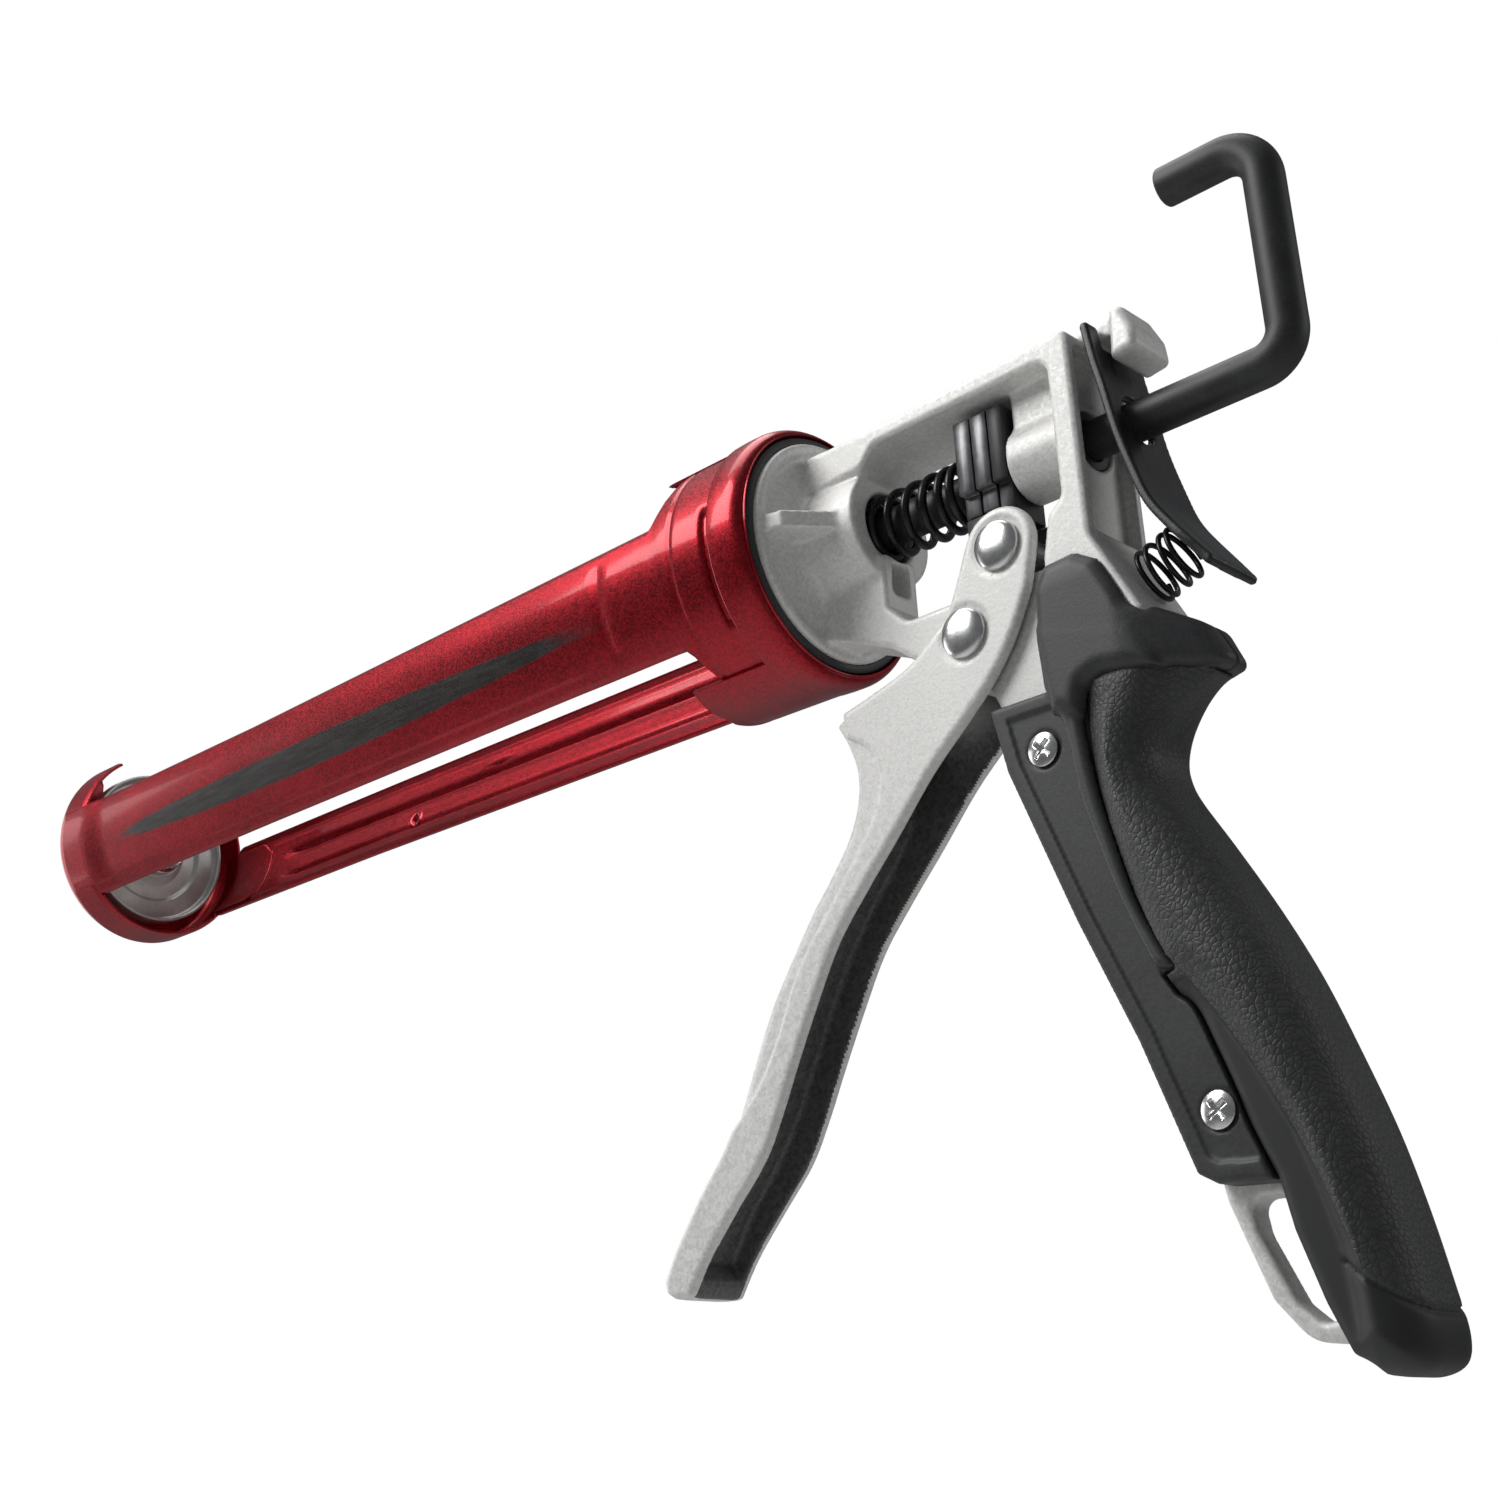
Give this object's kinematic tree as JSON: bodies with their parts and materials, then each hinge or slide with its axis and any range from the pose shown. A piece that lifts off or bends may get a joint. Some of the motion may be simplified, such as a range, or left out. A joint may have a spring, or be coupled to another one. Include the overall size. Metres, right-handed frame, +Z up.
{
  "type": "caulking gun",
  "caption": "Skeleton caulking gun with a swivelling open barrel, a hooked push rod, a squeeze trigger and a rod release lever.",
  "frame": {"origin": "middle of the flat front face of the pusher disc, with the rod fully forward, on the barrel's axis", "axes": "-X from the pusher towards the muzzle, +X towards the hook, +Z up, the handle hangs towards -Z, the gun's right side is +Y"},
  "size_m": [0.3911, 0.0596, 0.2333],
  "materials": {
    "red_paint": "candy red metallic gloss paint",
    "cast_silver": "satin cast",
    "black_steel": "black oxide, satin",
    "bright_steel": "bright plated",
    "zinc": "zinc plated",
    "grey_steel": "hardened, dull grey",
    "black_plastic": "fine textured",
    "black_rubber": "matte elastomer"
  },
  "bodies": {
    "body": {"cast_body": "cast_silver", "front_bush": "black_plastic", "rear_bush": "black_plastic", "bearing_ring": "black_plastic", "pivot_pin": "bright_steel", "grip_left": "black_plastic", "grip_right": "black_plastic", "grip_pad": "black_rubber", "grip_screw_upper": "bright_steel", "grip_screw_lower": "bright_steel", "grip_nut_upper": "bright_steel", "grip_nut_lower": "bright_steel", "rod_spring": "black_steel", "release_spring": "black_steel"},
    "barrel": {"front_cup": "red_paint", "ribbed_rail": "red_paint", "collar_ring": "red_paint", "snap_ring": "grey_steel"},
    "rod": {"push_rod": "black_steel", "pusher_disc": "zinc", "pusher_washer": "bright_steel", "pusher_nut": "bright_steel"},
    "drive": {"drive_plate_front": "grey_steel", "drive_plate_rear": "grey_steel", "drive_block": "black_steel"},
    "trigger": {"trigger": "cast_silver", "drive_pin": "bright_steel"},
    "roller": {"drive_roller": "grey_steel"},
    "release": {"release_lever": "black_steel"}
  },
  "joints": [
    {"name": "barrel_turn", "type": "hinge", "parent": "body", "child": "barrel", "pos_m": [0.268, 0, 0], "axis": [1, 0, 0], "continuous": true},
    {"name": "rod_slide", "type": "slide", "parent": "body", "child": "rod", "axis": [1, 0, 0], "range_m": [0, 0.238]},
    {"name": "trigger_pivot", "type": "hinge", "parent": "body", "child": "trigger", "pos_m": [0.308, 0, -0.0339], "axis": [0, -1, 0], "range_deg": [0, 17], "stiffness_Nm_per_rad": 0.3, "springref_deg": -14.32},
    {"name": "drive_slide", "type": "slide", "parent": "body", "child": "drive", "axis": [-1, 0, 0], "range_m": [0, 0.006], "deforming": ["rod_spring"]},
    {"name": "roller_turn", "type": "hinge", "parent": "trigger", "child": "roller", "pos_m": [0.318, 0, -0.0183], "axis": [0, 1, 0], "continuous": true},
    {"name": "release_pivot", "type": "hinge", "parent": "body", "child": "release", "pos_m": [0.3445, 0, 0.0156], "axis": [0, 1, 0], "range_deg": [0, 6], "stiffness_Nm_per_rad": 0.4, "springref_deg": -8.59, "deforming": ["release_spring"]}
  ],
  "couplings": [
    {"joint": "drive_slide", "follows": "trigger_pivot", "m_per_rad": 0.0171}
  ]
}
